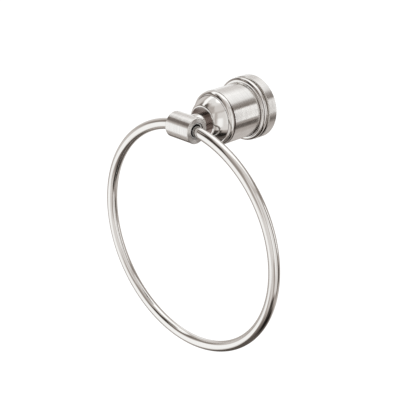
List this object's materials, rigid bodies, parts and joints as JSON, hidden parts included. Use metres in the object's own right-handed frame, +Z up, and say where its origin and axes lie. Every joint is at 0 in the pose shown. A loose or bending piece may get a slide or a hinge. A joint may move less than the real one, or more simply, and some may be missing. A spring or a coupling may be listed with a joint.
{
  "type": "towel ring",
  "caption": "Wall towel ring: a hoop that swings in a cross barrel on a turned, beaded post with a round flange over a concealed wall bracket.",
  "frame": {"origin": "centre of the wall bracket's back face, on the wall", "axes": "+Y into the wall, -Y out along the post, +Z up, +X along the hinge axis of the hoop"},
  "size_m": [0.1654, 0.0718, 0.1833],
  "materials": {
    "brushed_nickel": "brushed round the axis, polished on the bead, the shoulder and the dome",
    "satin_nickel": "smooth satin",
    "plated_steel": "bright zinc plating",
    "dark_steel": "blackened",
    "grey_nylon": "moulded, matt"
  },
  "bodies": {
    "post": {"wall_bracket": "plated_steel", "flange": "brushed_nickel", "set_screw": "dark_steel", "post": "brushed_nickel", "ring_holder": "brushed_nickel", "left_bush": "grey_nylon", "right_bush": "grey_nylon", "split_washer": "plated_steel", "holder_screw": "plated_steel"},
    "ring": {"ring": "satin_nickel"}
  },
  "joints": [
    {"name": "ring_swing", "type": "hinge", "parent": "post", "child": "ring", "pos_m": [0, -0.06315, 0], "axis": [1, 0, 0], "range_deg": [-202, 22]}
  ]
}
